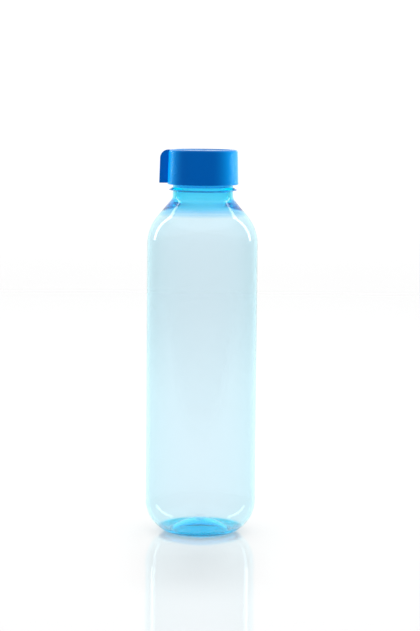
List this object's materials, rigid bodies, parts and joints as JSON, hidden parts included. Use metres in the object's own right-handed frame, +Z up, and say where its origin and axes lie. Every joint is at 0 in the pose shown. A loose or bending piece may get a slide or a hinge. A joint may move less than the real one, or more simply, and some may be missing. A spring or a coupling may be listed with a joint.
{
  "type": "screw-cap drinking bottle",
  "caption": "Slim cylindrical clear drinking bottle with domed shoulder, neck ring and a round screw cap with a grip lug on its side.",
  "frame": {"origin": "middle of the foot, on the bottle's axis, in the plane that the bottle stands on", "axes": "+Z up along the bottle's axis, -X towards the grip lug on the cap, +Y to complete a right-handed frame"},
  "size_m": [0.066, 0.066, 0.2301],
  "materials": {
    "clear_blue_wall": "clear tinted, glossy",
    "blue_cap": "opaque, glossy",
    "white_seal": "matte silicone"
  },
  "bodies": {
    "bottle": {"bottle_body": "clear_blue_wall"},
    "seal": {"seal_ring": "white_seal"},
    "cap": {"screw_cap": "blue_cap"}
  },
  "joints": [
    {"name": "cap_rise", "type": "slide", "parent": "bottle", "child": "seal", "axis": [0, 0, 1], "range_m": [0, 0.0286]},
    {"name": "cap_turn", "type": "hinge", "parent": "seal", "child": "cap", "pos_m": [0, 0, 0.22], "axis": [0, 0, 1], "range_deg": [0, 1080]}
  ],
  "couplings": [
    {"joint": "cap_rise", "follows": "cap_turn", "m_per_rad": 0.001516}
  ]
}
